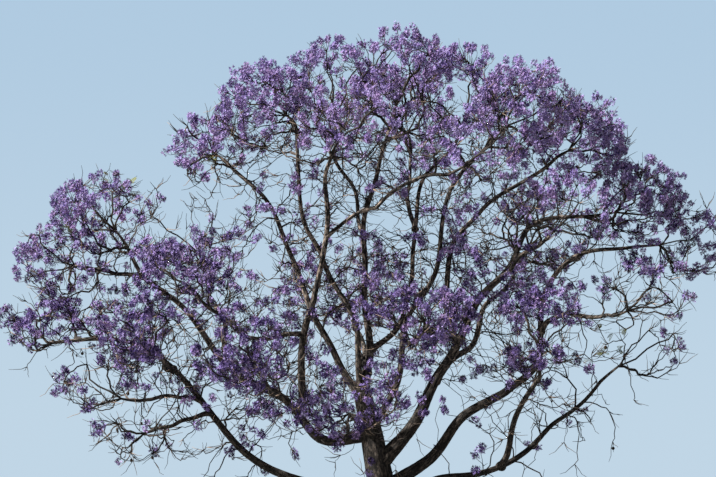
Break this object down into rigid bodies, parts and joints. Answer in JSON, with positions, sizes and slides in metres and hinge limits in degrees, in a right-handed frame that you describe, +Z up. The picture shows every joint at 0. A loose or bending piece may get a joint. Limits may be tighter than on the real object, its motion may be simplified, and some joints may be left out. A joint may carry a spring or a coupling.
{
  "type": "jacaranda tree",
  "caption": "Broad spreading jacaranda tree in full violet blossom, with a short leaning trunk, long arching boughs and open masses of flowering twigs.",
  "frame": {"origin": "middle of the flat cut under the trunk, at ground level", "axes": "+Z up along the trunk, +X to the tree's right as it is seen from the front, +Y away from the front"},
  "size_m": [19.9161, 15.0061, 13.998],
  "materials": {
    "bark": "rough, finely fissured grey-brown bark",
    "blossom": "soft matt violet petals",
    "leaf": "soft matt young fern-like leaves",
    "pod": "dry matt brown seed pods"
  },
  "bodies": {
    "root": {"trunk": "bark", "bough_upper_left": "bark", "bough_top": "bark", "bough_top_right": "bark", "bough_outer_right": "bark", "bough_far_right": "bark", "bough_shoulder_left": "bark", "bough_low_left": "bark", "bough_upper_right": "bark", "bough_droop_right": "bark", "bough_front_low": "bark", "bough_top_left": "bark", "bough_high_left": "bark", "bough_back_middle": "bark", "bough_back_top": "bark", "bough_front_top_right": "bark", "bough_front_middle": "bark", "bough_shoulder_right": "bark", "bough_front_right_high": "bark", "bough_back_right": "bark", "bough_low_right": "bark", "bough_front_right": "bark", "bough_front_top_left": "bark", "bough_front_left_high": "bark", "bough_front_left": "bark", "bough_back_left": "bark", "bough_far_left": "bark", "bough_front_low_left": "bark", "bough_droop_left": "bark", "bough_foot_left": "bark", "blossom_upper_left": "blossom", "blossom_top": "blossom", "blossom_top_right": "blossom", "blossom_outer_right": "blossom", "blossom_far_right": "blossom", "blossom_shoulder_left": "blossom", "blossom_low_left": "blossom", "blossom_upper_right": "blossom", "blossom_droop_right": "blossom", "blossom_front_low": "blossom", "blossom_top_left": "blossom", "blossom_high_left": "blossom", "blossom_back_middle": "blossom", "blossom_back_top": "blossom", "blossom_front_top_right": "blossom", "blossom_front_middle": "blossom", "blossom_shoulder_right": "blossom", "blossom_front_right_high": "blossom", "blossom_back_right": "blossom", "blossom_low_right": "blossom", "blossom_front_right": "blossom", "blossom_front_top_left": "blossom", "blossom_front_left_high": "blossom", "blossom_front_left": "blossom", "blossom_back_left": "blossom", "blossom_far_left": "blossom", "blossom_front_low_left": "blossom", "blossom_droop_left": "blossom", "blossom_foot_left": "blossom"}
  },
  "joints": []
}
